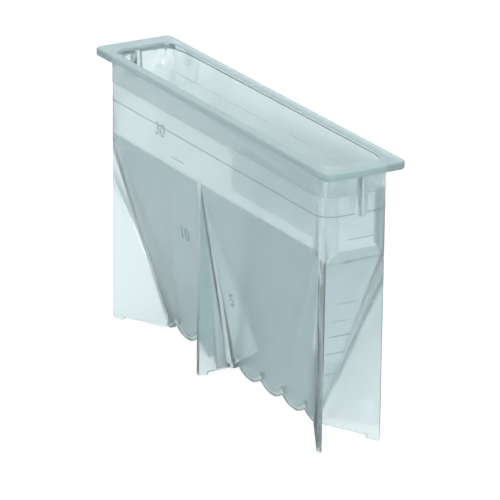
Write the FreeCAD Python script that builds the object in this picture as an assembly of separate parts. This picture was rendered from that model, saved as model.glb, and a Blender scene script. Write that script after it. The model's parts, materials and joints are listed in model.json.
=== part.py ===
import FreeCAD, Part
import math
import os

# Narrow multichannel reagent trough, moulded in one piece from clear polypropylene.
# Millimetres. X runs along the row of channels, Z is up, and the origin is at the
# middle of the footprint, on the plane that the feet stand on.

# Row of channels
channel_count = 8
channel_pitch = 9.0
pocket_radius = 6.1        # outside of the bowl under each channel

# Body
wall = 1.3                 # the ends, and the sides above the shoulder
floor_thickness = 1.0      # under each channel
body_width = 16.3
end_run = 13.85            # lean of each end wall, from the end pocket out to the shoulder
corner_radius = 3.9        # upright corners, outside
keel_radius = 0.65         # rounding of the trough's lower edge, outside
floor_radius = 0.3         # rounding at the foot of the hollow
keel_drop = 0.15           # how far either rounding would pass below its bowls
shoulder_radius = 3.0      # bend where the upright walls begin to lean
slope_height = 42.9        # pocket bottoms up to the shoulder
straight_height = 18.1     # shoulder up to the top of the rim

# Collar and rim
collar_height = 6.4
collar_step = 0.12         # how far the collar stands out from the walls
ledge = 0.25               # how much wider the hollow is inside the collar
rim_thickness = 1.25
rim_end_thickness = 1.65   # the rim is thicker where it overhangs the ends
rim_ramp_length = 3.0      # over which it thickens, along each long side
rim_side_overhang = 1.25
rim_end_overhang = 3.25
rim_corner_radius = 1.6
rim_edge_radius = 0.35
mouth_radius = 0.3

# Webs and feet
web_thickness = 1.0        # at the feet; the webs thicken upwards by the draft
web_draft = 0.35           # degrees on each face
foot_height = 0.7
foot_round = 0.35
corner_foot_length = 3.1
side_foot_length = 2.3

# Gussets under the rim's two ends
gusset_thickness = 1.4
gusset_reach = 2.4
gusset_height = 9.2
gusset_round = 0.5

# Worked out from the sizes above
pocket_level = foot_height
shoulder_level = pocket_level + slope_height
top_level = shoulder_level + straight_height
rim_level = top_level - rim_thickness
rim_end_level = top_level - rim_end_thickness
collar_level = top_level - collar_height
bowl_level = pocket_level + pocket_radius
keel_level = pocket_level - keel_drop + keel_radius
floor_level = pocket_level + floor_thickness - keel_drop + floor_radius
keel_half = (channel_count - 1) * channel_pitch / 2
body_length = 2 * (keel_half + end_run)
spare = body_width         # how far cutting tools run past what they cut
end_lean = math.atan(end_run / slope_height)


def lean_to_rounding(half, level, radius, centre_level):
    # A slanted side starts half a width out, at this level, and just touches the rounding.
    rise = level - centre_level
    return math.acos(radius / math.hypot(half, rise)) - math.atan2(rise, half)


side_lean = lean_to_rounding(body_width / 2, shoulder_level, keel_radius, keel_level)


def pocket_x(index):
    return index * channel_pitch - keel_half


def outline_face(points, radii, place):
    # A closed outline of straight runs, each corner rounded by its radius. place turns
    # a pair of plane coordinates into a point in space.
    joins = []
    arcs = []
    count = len(points)
    for i in range(count):
        here = FreeCAD.Vector(*points[i], 0)
        before = (FreeCAD.Vector(*points[i - 1], 0) - here).normalize()
        after = (FreeCAD.Vector(*points[(i + 1) % count], 0) - here).normalize()
        if radii[i] <= 0:
            joins.append((here, here))
            arcs.append([])
            continue
        half_angle = before.getAngle(after) / 2
        start = here + before * (radii[i] / math.tan(half_angle))
        end = here + after * (radii[i] / math.tan(half_angle))
        inward = (before + after).normalize()
        middle = here + inward * (radii[i] / math.sin(half_angle) - radii[i])
        joins.append((start, end))
        arcs.append([Part.Arc(place(start), place(middle), place(end)).toShape()])
    edges = []
    for i in range(count):
        start = joins[i][1]
        end = joins[(i + 1) % count][0]
        edges += arcs[i]
        edges.append(Part.LineSegment(place(start), place(end)).toShape())
    return Part.Face(Part.Wire(edges))


def upright_prism(length, width, radius, low, high):
    half_l = length / 2
    half_w = width / 2
    corners = [(-half_l, -half_w), (half_l, -half_w), (half_l, half_w), (-half_l, half_w)]
    face = outline_face(corners, [radius] * 4, lambda p: FreeCAD.Vector(p.x, p.y, low))
    return face.extrude(FreeCAD.Vector(0, 0, high - low))


def shoulder_corner(half, lean, inset):
    # Where the upright wall and the leaning wall would meet, both moved in by inset.
    return (half - inset, shoulder_level + inset * math.tan(lean / 2))


def cross_form(inset, radius, centre_level):
    # The section across the trough: upright sides, then leaning sides that run down to a
    # rounding with this radius and centre.
    half, level = shoulder_corner(body_width / 2, side_lean, inset)
    lean = lean_to_rounding(half, level, radius, centre_level)
    tip = centre_level - radius / math.sin(lean)
    high = top_level + spare
    bend = shoulder_radius - inset
    points = [(-half, high), (-half, level), (0, tip), (half, level), (half, high)]
    radii = [0, bend, radius, bend, 0]
    run = body_length / 2 + spare
    face = outline_face(points, radii, lambda p: FreeCAD.Vector(-run, p.x, p.y))
    return face.extrude(FreeCAD.Vector(2 * run, 0, 0))


def long_form(inset):
    # The section along the trough: upright ends that lean in to the end pockets.
    half, level = shoulder_corner(body_length / 2, end_lean, inset)
    low = pocket_level - pocket_radius
    low_half = half - (level - low) * math.tan(end_lean)
    high = top_level + spare
    bend = shoulder_radius - inset
    points = [(-half, high), (-half, level), (-low_half, low),
              (low_half, low), (half, level), (half, high)]
    radii = [0, bend, 0, 0, bend, 0]
    run = body_width / 2 + spare
    face = outline_face(points, radii, lambda p: FreeCAD.Vector(p.x, -run, p.y))
    return face.extrude(FreeCAD.Vector(0, 2 * run, 0))


def bowls(inset):
    # One bowl under each channel, and everything above their centres.
    half_l = body_length / 2 + spare
    half_w = body_width / 2 + spare
    corner = FreeCAD.Vector(-half_l, -half_w, bowl_level)
    above = Part.makeBox(2 * half_l, 2 * half_w, top_level + spare - bowl_level, corner)
    balls = []
    for index in range(channel_count):
        centre = FreeCAD.Vector(pocket_x(index), 0, bowl_level)
        balls.append(Part.makeSphere(pocket_radius - inset, centre))
    return above.fuse(balls)


def trough(inset, floor_inset, section, high):
    prism = upright_prism(body_length - 2 * inset, body_width - 2 * inset,
                          corner_radius - inset, pocket_level - spare, high)
    return prism.common(section).common(long_form(inset)).common(bowls(floor_inset))


def collar(grow, high):
    # The body's plan from the collar's lower edge up, moved out all round by grow.
    return upright_prism(body_length + 2 * grow, body_width + 2 * grow,
                         corner_radius + grow, collar_level, high)


def rim():
    # Thin along the sides and thicker at the ends, with its outer edges rounded.
    width = body_width + 2 * rim_side_overhang
    plan = upright_prism(body_length + 2 * rim_end_overhang, width, rim_corner_radius,
                         top_level - spare, top_level)
    end = body_length / 2 + spare
    thick = body_length / 2 - corner_radius
    thin = thick - rim_ramp_length
    points = [(-end, top_level), (-end, rim_end_level), (-thick, rim_end_level),
              (-thin, rim_level), (thin, rim_level), (thick, rim_end_level),
              (end, rim_end_level), (end, top_level)]
    side = outline_face(points, [0] * 8, lambda p: FreeCAD.Vector(p.x, -spare, p.y))
    slab = plan.common(side.extrude(FreeCAD.Vector(0, 2 * spare, 0)))
    rounded = []
    for edge in slab.Edges:
        box = edge.BoundBox
        upright = box.ZLength > rim_thickness / 2
        across = box.YLength > body_width and abs(box.XMax) < body_length / 2
        if not upright and not across:
            rounded.append(edge)
    return slab.makeFillet(rim_edge_radius, rounded)


def body_prism():
    # The body's plan, from the feet up to the shoulder. It trims the webs flush.
    return upright_prism(body_length, body_width, corner_radius, 0, shoulder_level)


def web(length, foot_length):
    # An upright plate that runs out from the origin along +X, with a foot at its outer end
    # and drafted faces. Its outer end is left long, to be trimmed.
    high = shoulder_level
    over = length + corner_radius
    foot = length - foot_length
    points = [(0, high), (0, pocket_level), (foot, pocket_level),
              (foot, 0), (over, 0), (over, high)]
    radii = [0, 0, 0, foot_round, 0, 0]
    side = outline_face(points, radii, lambda p: FreeCAD.Vector(p.x, -spare, p.y))
    foot_half = web_thickness / 2
    high_half = foot_half + high * math.tan(math.radians(web_draft))
    corners = [(-foot_half, 0), (foot_half, 0), (high_half, high), (-high_half, high)]
    section = outline_face(corners, [0] * 4, lambda p: FreeCAD.Vector(0, p.x, p.y))
    plate = section.extrude(FreeCAD.Vector(over, 0, 0))
    return plate.common(side.extrude(FreeCAD.Vector(0, 2 * spare, 0)))


def ridge_foot():
    # The lower end of the ridge between an end wall and a side wall, at pocket level.
    across = (keel_radius - (keel_level - pocket_level) * math.sin(side_lean)) / math.cos(side_lean)
    return keel_half, across


def ridge_top():
    # Going down, the rounded upright corner narrows to a point on the ridge. Seen from above,
    # the ridge crosses the corner's arc there: a quadratic in the drop below the shoulder.
    along = math.tan(end_lean)
    across = math.tan(side_lean)
    a = along ** 2 + across ** 2
    b = -2 * corner_radius * (along + across)
    c = corner_radius ** 2
    drop = (-b - math.sqrt(b * b - 4 * a * c)) / (2 * a)
    x = body_length / 2 - drop * along
    y = body_width / 2 - drop * across
    return x, y


def corner_webs():
    foot_x, foot_y = ridge_foot()
    top_x, top_y = ridge_top()
    run = math.hypot(top_x - foot_x, top_y - foot_y)
    turn = math.degrees(math.atan2(top_y - foot_y, top_x - foot_x))
    plate = web(run, corner_foot_length)
    plate.rotate(FreeCAD.Vector(0, 0, 0), FreeCAD.Vector(0, 0, 1), turn)
    plate.translate(FreeCAD.Vector(foot_x, foot_y, 0))
    first = plate.common(body_prism())
    across = first.mirror(FreeCAD.Vector(0, 0, 0), FreeCAD.Vector(0, 1, 0))
    pair = [first, across]
    along = [each.mirror(FreeCAD.Vector(0, 0, 0), FreeCAD.Vector(1, 0, 0)) for each in pair]
    return pair + along


def side_webs():
    # One on each side, under the pocket next to the middle of the row.
    plate = web(body_width / 2, side_foot_length)
    plate.rotate(FreeCAD.Vector(0, 0, 0), FreeCAD.Vector(0, 0, 1), 90)
    plate.translate(FreeCAD.Vector(pocket_x(channel_count // 2 - 1), 0, 0))
    first = plate.common(body_prism())
    return [first, first.mirror(FreeCAD.Vector(0, 0, 0), FreeCAD.Vector(0, 1, 0))]


def gussets():
    low = rim_level - gusset_height
    inner = body_length / 2 - wall / 2
    outer = body_length / 2 + gusset_reach
    points = [(inner, rim_level), (inner, low), (outer, low), (outer, rim_level)]
    radii = [0, 0, gusset_round, 0]
    half = gusset_thickness / 2
    face = outline_face(points, radii, lambda p: FreeCAD.Vector(p.x, -half, p.y))
    first = face.extrude(FreeCAD.Vector(0, gusset_thickness, 0))
    return [first, first.mirror(FreeCAD.Vector(0, 0, 0), FreeCAD.Vector(1, 0, 0))]


def soften_mouth(body):
    # Round the edge of the opening in the rim's flat top.
    inner_length = body_length + 2 * collar_step
    edges = []
    for edge in body.Edges:
        box = edge.BoundBox
        inside = max(abs(box.XMin), abs(box.XMax)) < inner_length / 2
        if inside and min(box.ZMin, box.ZMax) > top_level - mouth_radius / 2:
            edges.append(edge)
    return body.makeFillet(mouth_radius, edges)


def reservoir():
    outside = trough(0, 0, cross_form(0, keel_radius, keel_level), rim_level)
    additions = [collar(collar_step, rim_level), rim()]
    additions += corner_webs() + side_webs() + gussets()
    solid = outside.fuse(additions)
    above = top_level + spare
    hollow_section = cross_form(wall, floor_radius, floor_level)
    hollow = trough(wall, floor_thickness, hollow_section, above)
    hollow = hollow.fuse(collar(ledge - wall, above))
    body = solid.cut(hollow).removeSplitter()
    return soften_mouth(body)


os.makedirs("parts", exist_ok=True)
shape = reservoir()
solid = shape.Solids[0] if len(shape.Solids) == 1 else shape
solid.exportStep("parts/reservoir_body.step")
print("solids", len(shape.Solids), "valid", shape.isValid(), "volume", round(shape.Volume, 1))
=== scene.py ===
import json
import math

import bmesh
import bpy
import numpy as np
from mathutils import Matrix, Vector

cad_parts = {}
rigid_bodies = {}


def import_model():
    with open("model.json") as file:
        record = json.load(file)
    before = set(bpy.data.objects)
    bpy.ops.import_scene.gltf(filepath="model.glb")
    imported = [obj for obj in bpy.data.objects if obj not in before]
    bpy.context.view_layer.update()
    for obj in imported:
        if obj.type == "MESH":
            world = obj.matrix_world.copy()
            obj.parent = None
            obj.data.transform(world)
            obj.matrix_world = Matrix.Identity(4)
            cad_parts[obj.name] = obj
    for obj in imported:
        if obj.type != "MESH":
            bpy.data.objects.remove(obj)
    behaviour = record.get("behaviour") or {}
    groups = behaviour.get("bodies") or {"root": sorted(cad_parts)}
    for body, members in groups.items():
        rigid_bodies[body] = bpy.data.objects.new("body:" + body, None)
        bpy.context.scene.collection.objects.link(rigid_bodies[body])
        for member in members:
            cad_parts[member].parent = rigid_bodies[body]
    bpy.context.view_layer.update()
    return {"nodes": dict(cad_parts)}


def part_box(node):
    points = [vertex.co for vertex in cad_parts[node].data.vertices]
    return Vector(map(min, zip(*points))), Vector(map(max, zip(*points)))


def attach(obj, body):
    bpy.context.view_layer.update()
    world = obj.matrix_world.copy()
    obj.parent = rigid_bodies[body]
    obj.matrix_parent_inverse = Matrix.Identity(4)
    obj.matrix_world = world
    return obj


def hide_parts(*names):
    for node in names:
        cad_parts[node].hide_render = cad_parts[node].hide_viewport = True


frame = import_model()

low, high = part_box("reservoir_body")
mm = 0.001
collection = bpy.context.scene.collection
print("frame loaded, body", [round(c / mm, 2) for c in high - low], "mm")


def linear(hexColour):
    # sRGB hex to linear: c / 12.92 below 0.04045, else ((c + 0.055) / 1.055) to the power 2.4
    parts = np.array([int(hexColour[i:i + 2], 16) for i in (1, 3, 5)]) / 255
    flat = np.where(parts <= 0.04045, parts / 12.92, ((parts + 0.055) / 1.055) ** 2.4)
    return tuple(float(c) for c in flat) + (1.0,)


def addNode(tree, kind, sockets=None, links=None, **settings):
    # one node: its own settings, its socket values, and what is linked into it
    node = tree.nodes.new(kind)
    for name, value in settings.items():
        setattr(node, name, value)
    for name, value in (sockets or {}).items():
        node.inputs[name].default_value = value
    for name, source in (links or {}).items():
        tree.links.new(source, node.inputs[name])
    return node


def newMaterial(name):
    material = bpy.data.materials.new(name)
    material.use_nodes = True
    material.node_tree.nodes.clear()
    return material, material.node_tree


def addMesh(name, points, faces, material, smooth=True):
    data = bpy.data.meshes.new(name)
    data.from_pydata(np.asarray(points).tolist(), [], faces)
    data.polygons.foreach_set("use_smooth", np.full(len(data.polygons), smooth))
    data.materials.append(material)
    data.update()
    piece = bpy.data.objects.new(name, data)
    collection.objects.link(piece)
    return piece


plasticSettings = {
    "tint": "#EEFBFD", "paintedShadeTint": "#A8C4C8",      # cool milky cast, and the darker tint of the painted shade
    "clear": 0.89, "paintedShadeClear": 0.4,               # share of the light that goes through
    "ior": 1.49, "coatIor": 1.58, "coat": 1.0, "coatRoughness": 0.03,
    "roughLow": 0.15, "roughHigh": 0.21,             # in the clear and in the hazy patches
    "paintedShadeRough": 0.04,                             # roughness that full painted shade adds to that
    "hazePatch": 4.0, "hazeFrom": 0.3, "hazeTo": 0.7,    # mm across, and how the haze sets in
    "polishLine": 0.6, "polishDepth": 0.01,          # mm
    "polishDraw": 0.12, "bump": 0.15,                # across to along, and how much it shows
    "depthTint": "#7FA3A8", "density": 34.0,         # what a long way through the wall absorbs
}


def mouldedPolypropylene(settings):
    # natural polypropylene, injection moulded: a clear wall with a cool milky tint and a glossy
    # skin, darker where the light runs along a wall, with a faint haze from uneven cooling; painted
    # shade: zones set per corner take a darker, milkier tint with less light through and no gloss
    material, tree = newMaterial("natural_polypropylene_moulded")
    place = addNode(tree, "ShaderNodeTexCoord")
    flow = addNode(tree, "ShaderNodeTexNoise",          # cooling haze, patches a few mm wide
                   {"Scale": 1 / (settings["hazePatch"] * mm), "Detail": 3.0, "Roughness": 0.55},
                   {"Vector": place.outputs["Object"]})
    haze = addNode(tree, "ShaderNodeMapRange",
                   {"From Min": settings["hazeFrom"], "From Max": settings["hazeTo"],
                    "To Min": settings["roughLow"], "To Max": settings["roughHigh"]},
                   {"Value": flow.outputs["Fac"]})
    drawn = addNode(tree, "ShaderNodeMapping", {"Scale": (1.0, 1.0, settings["polishDraw"])},
                    {"Vector": place.outputs["Object"]})
    polish = addNode(tree, "ShaderNodeTexNoise",        # upright polishing lines of the mould,
                     {"Scale": 1 / (settings["polishLine"] * mm), "Detail": 2.0},
                     {"Vector": drawn.outputs["Vector"]})      # drawn as coarse as they show
    bump = addNode(tree, "ShaderNodeBump",
                   {"Strength": settings["bump"], "Distance": settings["polishDepth"] * mm},
                   {"Height": polish.outputs["Fac"]})
    # painted shade: the etched number of each corner darkens the tint, clouds it and takes its
    # gloss off
    etched = addNode(tree, "ShaderNodeAttribute", attribute_name="etched").outputs["Fac"]
    tone = addNode(tree, "ShaderNodeMix", data_type="RGBA")     # its colours are inputs 6 and 7
    tone.inputs[6].default_value = linear(settings["tint"])
    tone.inputs[7].default_value = linear(settings["paintedShadeTint"])
    tree.links.new(etched, tone.inputs[0])
    blur = addNode(tree, "ShaderNodeMath", operation="MULTIPLY_ADD")
    tree.links.new(etched, blur.inputs[0])
    blur.inputs[1].default_value = settings["paintedShadeRough"]
    tree.links.new(haze.outputs["Result"], blur.inputs[2])
    clear = addNode(tree, "ShaderNodeMapRange",
                    {"To Min": settings["clear"], "To Max": settings["paintedShadeClear"]},
                    {"Value": etched})
    gloss = addNode(tree, "ShaderNodeMapRange", {"To Min": settings["coat"], "To Max": 0.0},
                    {"Value": etched})
    skin = addNode(tree, "ShaderNodeBsdfPrincipled",
                   {"IOR": settings["ior"], "Coat Roughness": settings["coatRoughness"],
                    "Coat IOR": settings["coatIor"]},
                   {"Base Color": tone.outputs[2], "Roughness": blur.outputs["Value"],
                    "Transmission Weight": clear.outputs["Result"],
                    "Coat Weight": gloss.outputs["Result"], "Normal": bump.outputs["Normal"]})
    inside = addNode(tree, "ShaderNodeVolumeAbsorption",
                     {"Color": linear(settings["depthTint"]), "Density": settings["density"]})
    addNode(tree, "ShaderNodeOutputMaterial", None,
            {"Surface": skin.outputs["BSDF"], "Volume": inside.outputs["Volume"]})
    return material


markSettings = {
    "tint": "#6F8A8D", "ior": 1.49, "roughness": 0.7,
    "grain": 0.25, "grainDepth": 0.03, "bump": 0.4,  # mm, mm, and how much it shows
    "cover": 0.2,                                    # how much of the wall behind it hides
}


def etchedMark(settings):
    # the same polypropylene, raised from lines etched into the mould: a fine frosted grain that
    # scatters light, so a mark reads as a soft grey line
    material, tree = newMaterial("polypropylene_etched_mark")
    place = addNode(tree, "ShaderNodeTexCoord")
    grain = addNode(tree, "ShaderNodeTexNoise",         # etched grain, drawn as coarse as shows
                    {"Scale": 1 / (settings["grain"] * mm), "Detail": 2.0},
                    {"Vector": place.outputs["Object"]})
    bump = addNode(tree, "ShaderNodeBump",
                   {"Strength": settings["bump"], "Distance": settings["grainDepth"] * mm},
                   {"Height": grain.outputs["Fac"]})
    frosted = addNode(tree, "ShaderNodeBsdfPrincipled",
                      {"Base Color": linear(settings["tint"]), "IOR": settings["ior"],
                       "Roughness": settings["roughness"]},
                      {"Normal": bump.outputs["Normal"]})
    clear = addNode(tree, "ShaderNodeBsdfTransparent")
    mixed = addNode(tree, "ShaderNodeMixShader", {"Fac": settings["cover"]})
    tree.links.new(clear.outputs["BSDF"], mixed.inputs[1])
    tree.links.new(frosted.outputs["BSDF"], mixed.inputs[2])
    addNode(tree, "ShaderNodeOutputMaterial", None, {"Surface": mixed.outputs["Shader"]})
    return material


plastic = mouldedPolypropylene(plasticSettings)
markPlastic = etchedMark(markSettings)
print("materials made")


bodySettings = {
    "weld": 0.002,                 # mm, corners closer than this are one
    "sharpAngle": 28,              # degrees, a steeper crease stays crisp
    "largeFaces": 60,              # how far a large face outweighs a small one, 50 is not at all
    # mm: levels at which the zones begin, and how far from the middle walls, rim and web begin
    "shoulder": 43.7, "collar": 55.3, "rim": 60.0,
    "sideWall": 7.5, "endWall": 44.5, "backRimFrom": 8, "rimSide": 9, "rimEnd": 48, "webEnd": 20,
    # which way a face points, with 1 for a whole direction: down by at least this if it leans,
    # up or down by at most this if it is upright
    "leaning": 0.05, "upright": 0.3, "uprightWeb": 0.04, "uprightSideWeb": 0.1,
    # to a side or an end by at least this if it is straight, and the product of both if it turns
    "straight": 0.8, "straightSideWeb": 0.9, "turned": 0.02, "turnedWeb": 0.2,
    # painted shade in each outside zone, heavier at the front and near end: 0 none to 1 dark,
    # milky, matt
    "frontSlope": 0.5, "backSlope": 0.12, "endSlope": 0.7, "farSlope": 0.15,
    "rimSkin": 0.95, "backRim": 0.2, "frontCollar": 0.6, "backBand": 0.08,
    "corners": 0.24, "nearCorner": 0.8, "nearWeb": 0.55, "backWebs": 0.08, "sideWeb": 0.4,
    # the same at the foot, where the painted shade runs out on the way down, lighter towards the
    # bottom
    "atFoot": {"frontSlope": 0.15, "endSlope": 0.0, "nearWeb": 0.0, "sideWeb": 0.0},
}


def paintedShadeZones(data, settings):
    # one painted shade number a face corner: the zone is told from the middle of the face (mm) and
    # the way that it faces, and number = atFoot + (atTop - atFoot) * height of the corner /
    # shoulder
    middle, facing = np.zeros((2, len(data.polygons) * 3))
    data.polygons.foreach_get("center", middle)
    data.polygons.foreach_get("normal", facing)
    x, y, z = middle.reshape(-1, 3).T / mm
    nx, ny, nz = facing.reshape(-1, 3).T
    tipped, turned, straight = np.abs(nz), np.abs(nx * ny), settings["straight"]
    foot = z < settings["shoulder"]
    leaning = foot & (nz < -settings["leaning"])
    cornerWeb = foot & (tipped < settings["uprightWeb"]) & (turned > settings["turnedWeb"])
    sideWeb = (foot & (tipped < settings["uprightSideWeb"])
               & (np.abs(nx) > settings["straightSideWeb"]))
    wall = ~foot & (tipped < settings["upright"])
    band, collar = wall & (z < settings["collar"]), wall & (z > settings["collar"])
    corner = band & (turned > settings["turned"])
    rim = (z > settings["rim"]) & ((tipped > settings["upright"]) | (np.abs(x) > settings["rimEnd"])
                                   | (np.abs(y) > settings["rimSide"]))
    zones = {                                            # the first that fits a face counts
        "frontSlope": leaning & (ny < -straight),
        "backSlope": leaning & (ny > straight),
        "endSlope": leaning & (nx > straight),
        "farSlope": leaning & (nx < -straight),
        "nearWeb": cornerWeb & (y > 0) & (x > settings["webEnd"]),
        "backWebs": cornerWeb & (y > 0),
        "sideWeb": sideWeb & (y < 0),
        "backRim": rim & (y > settings["backRimFrom"]) & (nz < settings["upright"]),
        "rimSkin": rim,
        "frontCollar": collar & ((y < -settings["sideWall"]) | (x > settings["endWall"])),
        "nearCorner": corner & (x > 0) & (y > 0),
        "backBand": band & (y > settings["sideWall"]),
        "corners": corner & (y < 0),
    }
    atTop = [settings[name] for name in zones]
    atFoot = [settings["atFoot"].get(name, settings[name]) for name in zones]
    cornerCount = np.zeros(len(data.polygons), int)
    data.polygons.foreach_get("loop_total", cornerCount)
    top, bottom = (np.repeat(np.select(list(zones.values()), values, 0), cornerCount)
                   for values in (atTop, atFoot))
    point, place = np.zeros(len(data.loops), int), np.zeros(len(data.vertices) * 3)
    data.loops.foreach_get("vertex_index", point)
    data.vertices.foreach_get("co", place)
    height = place.reshape(-1, 3)[point, 2] / mm / settings["shoulder"]
    return bottom + (top - bottom) * np.clip(height, 0, 1)


def weldedBody(node, settings):
    # the moulded body as one closed skin: corners welded, flat faces kept flat, rounds smooth
    data = frame["nodes"][node].data.copy()
    work = bmesh.new()
    work.from_mesh(data)
    bmesh.ops.remove_doubles(work, verts=work.verts, dist=settings["weld"] * mm)
    work.to_mesh(data)
    work.free()
    data.materials.clear()
    data.materials.append(plastic)
    count = len(data.polygons)
    data.polygons.foreach_set("use_smooth", np.ones(count, bool))
    data.polygons.foreach_set("material_index", np.zeros(count, int))
    data.set_sharp_from_angle(angle=math.radians(settings["sharpAngle"]))
    # painted shade: each corner's number, stored as etched, says how dark and milky the plastic is
    # there
    layer = data.attributes.new("etched", "FLOAT", "CORNER")
    layer.data.foreach_set("value", paintedShadeZones(data, settings).astype(np.float32))
    body = bpy.data.objects.new("moulded_body", data)
    collection.objects.link(body)
    weighted = body.modifiers.new("even_faces", "WEIGHTED_NORMAL")
    weighted.keep_sharp = True
    weighted.weight = settings["largeFaces"]
    return body


body = weldedBody("reservoir_body", bodySettings)
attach(body, "root")
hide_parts("reservoir_body")
print("moulded body:", len(body.data.polygons), "faces")


marks = {                                                # mm
    "lineWidth": 0.35, "tickWidth": 0.27, "proud": 0.10, "sunk": 0.06,
    "ringLevel": 51.3, "cornerRadius": 3.9, "gussetGap": 1.6, "besideGusset": 3.0,
    "probeFrom": 80, "weld": 0.001,
    "beadSides": 12, "cornerPoints": 10, "curveSteps": 6,        # how finely they are drawn
    "frontTicks": [(-16.2, -11.1, 46.0)],                # from x, to x, level
    "endTicks": [(-2.5, 3.4, 46.0), (-2.1, 2.8, 30.7), (-2.2, 2.3, 26.4),      # from y, to y
                 (-2.1, 2.9, 22.6), (-1.8, 2.4, 18.3), (-1.0, 1.8, 13.1)],
    # figures, x and level of their middle, and their height, of which the font's size is so
    # many times
    "numerals": [("30", -21.3, 50.4, 3.0), ("10", -15.2, 28.4, 3.0), ("5", 2.1, 18.6, 3.0)],
    "fontSize": 1.4,
}
outside = marks["probeFrom"]


def wallAt(origin, direction):
    # where a straight probe from outside meets the body, and the wall's outward direction there
    hit, place, normal, _ = body.ray_cast(Vector(origin) * mm, Vector(direction))
    if not hit:
        raise RuntimeError(f"no wall under the mark at {origin}")
    return np.array(place), np.array(normal)


def raisedRib(path, outward, width):
    # a rounded bead carried along a path: point(i, a) = path(i) + across(i) * width/2 * cos a
    # + outward(i) * (proud * sin a above the wall, sunk * sin a below it); the ends are capped
    ahead = np.gradient(path, axis=0)
    ahead /= np.linalg.norm(ahead, axis=1, keepdims=True)
    across = np.cross(outward, ahead)
    turn = np.linspace(0, 2 * np.pi, marks["beadSides"], endpoint=False)
    rise = np.where(np.sin(turn) > 0, marks["proud"], marks["sunk"]) * np.sin(turn) * mm
    side = width / 2 * np.cos(turn) * mm
    grid = (path[:, None, :] + across[:, None, :] * side[None, :, None]
            + outward[:, None, :] * rise[None, :, None])
    rows, cols = grid.shape[:2]
    i, j = np.meshgrid(np.arange(rows - 1), np.arange(cols), indexing="ij")
    k = (j + 1) % cols
    quads = np.stack([i * cols + j, (i + 1) * cols + j, (i + 1) * cols + k, i * cols + k], -1)
    rim = np.arange(cols)
    caps = [rim.tolist(), (rim[::-1] + (rows - 1) * cols).tolist()]
    return grid.reshape(-1, 3), quads.reshape(-1, 4).tolist() + caps


def facingOut(piece):
    # welds what touches and turns every face outwards
    work = bmesh.new()
    work.from_mesh(piece.data)
    bmesh.ops.remove_doubles(work, verts=work.verts, dist=marks["weld"] * mm)
    bmesh.ops.recalc_face_normals(work, faces=work.faces)
    work.to_mesh(piece.data)
    work.free()
    return piece


def levelLine():
    # the level line runs round the wall, in two halves that stop at the gussets of the ends:
    # straight sides, and corners at centre + radius * (sin t, -cos t) for t from 0 to 90 degrees
    level = marks["ringLevel"]
    halfWide = -wallAt((marks["frontTicks"][0][0], -outside, level), (0, 1, 0))[0][1]
    halfLong = wallAt((outside, marks["besideGusset"], level), (-1, 0, 0))[0][0]
    radius, gap = marks["cornerRadius"] * mm, marks["gussetGap"] / 2 * mm
    turn = np.linspace(0, np.pi / 2, marks["cornerPoints"])
    corner = np.stack([np.sin(turn), -np.cos(turn)], -1)
    centre = np.array([halfLong - radius, radius - halfWide])
    run = np.concatenate([centre + radius * corner, [[halfLong, -gap]]])
    facing = np.concatenate([corner, [[1, 0]]])
    flip = np.array([-1, 1])
    plan = np.concatenate([(run * flip)[::-1], run])
    sides = np.concatenate([(facing * flip)[::-1], facing])
    height = np.full((len(plan), 1), level * mm)
    pieces = []
    for name, sign in (("front", 1), ("back", -1)):
        points, faces = raisedRib(np.hstack([plan * [1, sign], height]),
                                  np.hstack([sides * [1, sign], height * 0]),
                                  marks["lineWidth"])
        pieces.append(facingOut(addMesh(f"level_line_{name}", points, faces, markPlastic)))
    return pieces


def tick(name, start, end, probe):
    # a short straight mark laid on the wall: path(s) = start + (end - start) * s
    (first, outward), (last, _) = wallAt(start, probe), wallAt(end, probe)
    share = np.linspace(0, 1, 3)[:, None]
    points, faces = raisedRib(first + (last - first) * share, np.tile(outward, (3, 1)),
                              marks["tickWidth"])
    return facingOut(addMesh(name, points, faces, markPlastic))


def numeral(words, x, z, height):
    # raised figures laid on the wall, which they go into by sunk and stand out from by proud:
    # point = foot + right * u + up * v + outward * (w + lift)
    foot, outward = wallAt((x, -outside, z), (0, 1, 0))
    right = np.array([1.0, 0.0, 0.0])
    up = np.cross(outward, right)
    letters = bpy.data.curves.new("figures", "FONT")
    letters.body = words
    letters.size = height * marks["fontSize"] * mm
    letters.extrude = (marks["proud"] + marks["sunk"]) / 2 * mm
    letters.align_x, letters.align_y = "CENTER", "CENTER"
    letters.resolution_u = marks["curveSteps"]
    holder = bpy.data.objects.new("figures", letters)
    collection.objects.link(holder)
    data = bpy.data.meshes.new_from_object(holder)
    bpy.data.objects.remove(holder)
    flat = np.zeros(len(data.vertices) * 3)
    data.vertices.foreach_get("co", flat)
    u, v, w = flat.reshape(-1, 3).T[:, :, None]
    lift = (marks["proud"] - marks["sunk"]) / 2 * mm
    points = foot + right * u + up * v + outward * (w + lift)
    data.vertices.foreach_set("co", points.ravel())
    data.materials.clear()
    data.materials.append(markPlastic)
    data.update()
    piece = bpy.data.objects.new("figures_" + words, data)
    collection.objects.link(piece)
    return facingOut(piece)


markPieces = levelLine()
for index, (start, end, level) in enumerate(marks["frontTicks"]):
    markPieces.append(tick(f"front_tick_{index}", (start, -outside, level),
                           (end, -outside, level), (0, 1, 0)))
for index, (start, end, level) in enumerate(marks["endTicks"]):
    markPieces.append(tick(f"end_tick_{index}", (outside, start, level), (outside, end, level),
                           (-1, 0, 0)))
for words, x, z, height in marks["numerals"]:
    markPieces.append(numeral(words, x, z, height))
for piece in markPieces:
    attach(piece, "root")
print("marks:", len(markPieces), "pieces")


studio = {
    "floorColour": "#7A7A7A", "floorGlow": 0.87, "floorSize": 4.0,      # size in m
    "fibre": 2.5, "fibreDepth": 0.05, "fibreBump": 0.05,                # mm, mm, how much shows
    "skyLight": 0.82,
    "softboxes": {                                                      # m, m, W
        "key_softbox": {"place": (-0.12, 0.0, 1.0), "size": 1.2, "power": 5.8},
        "fill_softbox": {"place": (1.2, -0.4, 0.23), "size": 0.4, "power": 5.5},
    },
}


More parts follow.
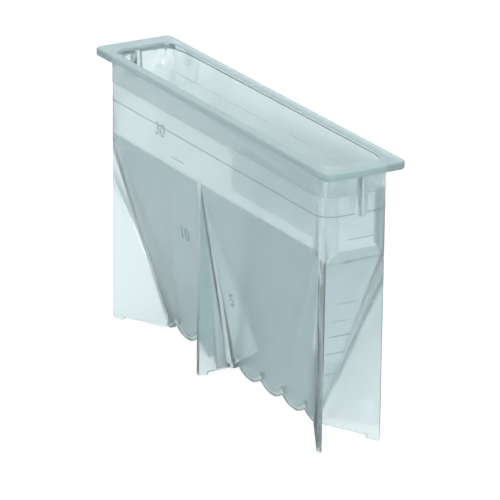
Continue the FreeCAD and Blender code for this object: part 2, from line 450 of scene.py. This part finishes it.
def seenDirectly(tree, amount, otherwise=0.0):
    # amount for rays that the eye, a reflection or a clear wall sends out, otherwise for the rest
    rays = addNode(tree, "ShaderNodeLightPath")
    first = addNode(tree, "ShaderNodeMath", operation="MAXIMUM")
    tree.links.new(rays.outputs["Is Camera Ray"], first.inputs[0])
    tree.links.new(rays.outputs["Is Glossy Ray"], first.inputs[1])
    second = addNode(tree, "ShaderNodeMath", operation="MAXIMUM")
    tree.links.new(first.outputs["Value"], second.inputs[0])
    tree.links.new(rays.outputs["Is Transmission Ray"], second.inputs[1])
    choice = addNode(tree, "ShaderNodeMapRange", {"To Min": otherwise, "To Max": amount},
                     {"Value": second.outputs["Value"]})
    return choice.outputs["Result"]


def paperFloor():
    # uncoated matte paper, so it has no gloss: it takes the shadow, and shows as white to the
    # eye and in reflections; its fibres are drawn coarser than real ones, so that they show
    material, tree = newMaterial("matte_paper")
    place = addNode(tree, "ShaderNodeTexCoord")
    fibre = addNode(tree, "ShaderNodeTexNoise",
                    {"Scale": 1 / (studio["fibre"] * mm), "Detail": 2.0},
                    {"Vector": place.outputs["Object"]})
    bump = addNode(tree, "ShaderNodeBump",
                   {"Strength": studio["fibreBump"], "Distance": studio["fibreDepth"] * mm},
                   {"Height": fibre.outputs["Fac"]})
    paper = addNode(tree, "ShaderNodeBsdfDiffuse", {"Color": linear(studio["floorColour"])},
                    {"Normal": bump.outputs["Normal"]})
    glow = addNode(tree, "ShaderNodeEmission", None,
                   {"Strength": seenDirectly(tree, studio["floorGlow"])})
    both = addNode(tree, "ShaderNodeAddShader")
    tree.links.new(paper.outputs["BSDF"], both.inputs[0])
    tree.links.new(glow.outputs["Emission"], both.inputs[1])
    addNode(tree, "ShaderNodeOutputMaterial", None, {"Surface": both.outputs["Shader"]})
    half = studio["floorSize"] / 2
    corners = [(-half, -half, 0), (half, -half, 0), (half, half, 0), (-half, half, 0)]
    addMesh("floor", corners, [[0, 1, 2, 3]], material, smooth=False)


def whiteRoom():
    # full white wherever it is seen, and a little less as the light that falls on the body
    world = bpy.data.worlds.new("white_room")
    world.use_nodes = True
    tree = world.node_tree
    tree.nodes.clear()
    back = addNode(tree, "ShaderNodeBackground", {"Color": (1, 1, 1, 1)},
                   {"Strength": seenDirectly(tree, 1.0, studio["skyLight"])})
    addNode(tree, "ShaderNodeOutputWorld", None, {"Surface": back.outputs["Background"]})
    bpy.context.scene.world = world


felt = {"nap": 1.11, "napDepth": 0.1, "bump": 0.1, "level": 0.5}       # mm, mm, strength, mm
# painted shadow: grey sheets on the floor for the body's shadow, corners in mm, colour fading along
# x
paintedShadowCards = {
    "near_painted_shadow": {"corners": [(-200, -62), (60, -62), (60, 0), (-200, 0)],
                  "colours": ("#7C8486", "#AEB4B6"), "fade": (-10, -70), "behind": False},
    "far_painted_shadow": {"corners": [(-190, -85), (-128, -85), (-122, -84.2), (-118, -81.5),
                             (-101.8, -72.5), (-45, -72.5), (-70, -95), (-190, -95)],
                 "colours": ("#5E6567", "#5E6567"), "fade": (-45, -190), "behind": False},
    "back_painted_shadow": {"corners": [(-260, 78), (-70, 78), (-70, 170), (-260, 170)],
                  "colours": ("#8F999A", "#E0E3E3"), "fade": (-95, -185), "behind": True},
}


def paintedShadowCard(name, settings):
    # painted shadow: a dull grey sheet with a fine nap that stands in for the body's shadow on the
    # floor; never seen itself, it shows only in the gloss of the walls as a painted reflection, or
    # through them where it lies behind, and darkens the walls against the white room
    material, tree = newMaterial("painted_shadow_card")
    place = addNode(tree, "ShaderNodeTexCoord")
    fuzz = addNode(tree, "ShaderNodeTexNoise", {"Scale": 1 / (felt["nap"] * mm)},
                   {"Vector": place.outputs["Object"]})
    nap = addNode(tree, "ShaderNodeBump",
                  {"Strength": felt["bump"], "Distance": felt["napDepth"] * mm},
                  {"Height": fuzz.outputs["Fac"]})
    along = addNode(tree, "ShaderNodeSeparateXYZ", None, {"Vector": place.outputs["Object"]})
    start, end = settings["fade"]
    fade = addNode(tree, "ShaderNodeMapRange", {"From Min": start * mm, "From Max": end * mm},
                   {"Value": along.outputs["X"]})
    shade = addNode(tree, "ShaderNodeMix", data_type="RGBA")    # its colours are inputs 6 and 7
    shade.inputs[6].default_value, shade.inputs[7].default_value = map(linear, settings["colours"])
    tree.links.new(fade.outputs["Result"], shade.inputs[0])
    # painted shadow: a dull grey that fades along x to another
    shadowSurface = addNode(tree, "ShaderNodeBsdfDiffuse", None,
                    {"Color": shade.outputs[2], "Normal": nap.outputs["Normal"]})
    addNode(tree, "ShaderNodeOutputMaterial", None, {"Surface": shadowSurface.outputs["BSDF"]})
    corners = settings["corners"]
    points = np.array([(x, y, felt["level"]) for x, y in corners]) * mm
    card = addMesh(name, points, [list(range(len(corners)))], material, smooth=False)
    card.visible_camera = card.visible_diffuse = False
    card.visible_shadow = card.visible_volume_scatter = False
    card.visible_glossy, card.visible_transmission = not settings["behind"], settings["behind"]


def softbox(name, settings):
    # a square soft light that aims at the middle of the body
    light = bpy.data.lights.new(name, "AREA")
    light.shape, light.size, light.energy = "SQUARE", settings["size"], settings["power"]
    lamp = bpy.data.objects.new(name, light)
    toward = Vector((low + high) / 2) - Vector(settings["place"])
    lamp.matrix_world = (Matrix.Translation(settings["place"])
                         @ toward.to_track_quat("-Z", "Y").to_matrix().to_4x4())
    collection.objects.link(lamp)


view = {"azimuth": 59.44, "elevation": 20.35, "roll": 0.587,            # degrees
        "distance": 0.8113, "target": (0.00302, 0.0, 0.02971),          # m
        "focal": 277.9, "sensor": 36.0, "nearest": 0.05}                # mm, mm, m


def camera(settings):
    # looks at the target from a direction given in degrees, with a small roll about its own axis
    a, e, r = (math.radians(settings[name]) for name in ("azimuth", "elevation", "roll"))
    back = Vector((math.sin(a) * math.cos(e), -math.cos(a) * math.cos(e), math.sin(e)))
    right = Vector((math.cos(a), math.sin(a), 0))
    up = back.cross(right)
    right, up = (right * math.cos(r) + up * math.sin(r), up * math.cos(r) - right * math.sin(r))
    turned = Matrix((right, up, back)).transposed().to_4x4()
    data = bpy.data.cameras.new("camera")
    data.lens, data.sensor_width = settings["focal"], settings["sensor"]
    data.clip_start = settings["nearest"]
    eye = bpy.data.objects.new("camera", data)
    place = Vector(settings["target"]) + back * settings["distance"]
    eye.matrix_world = Matrix.Translation(place) @ turned
    collection.objects.link(eye)
    bpy.context.scene.camera = eye


paperFloor()
whiteRoom()
for name, settings in paintedShadowCards.items():
    paintedShadowCard(name, settings)
for name, settings in studio["softboxes"].items():
    softbox(name, settings)
camera(view)
bpy.context.scene.view_settings.view_transform = "Standard"
print("studio ready")
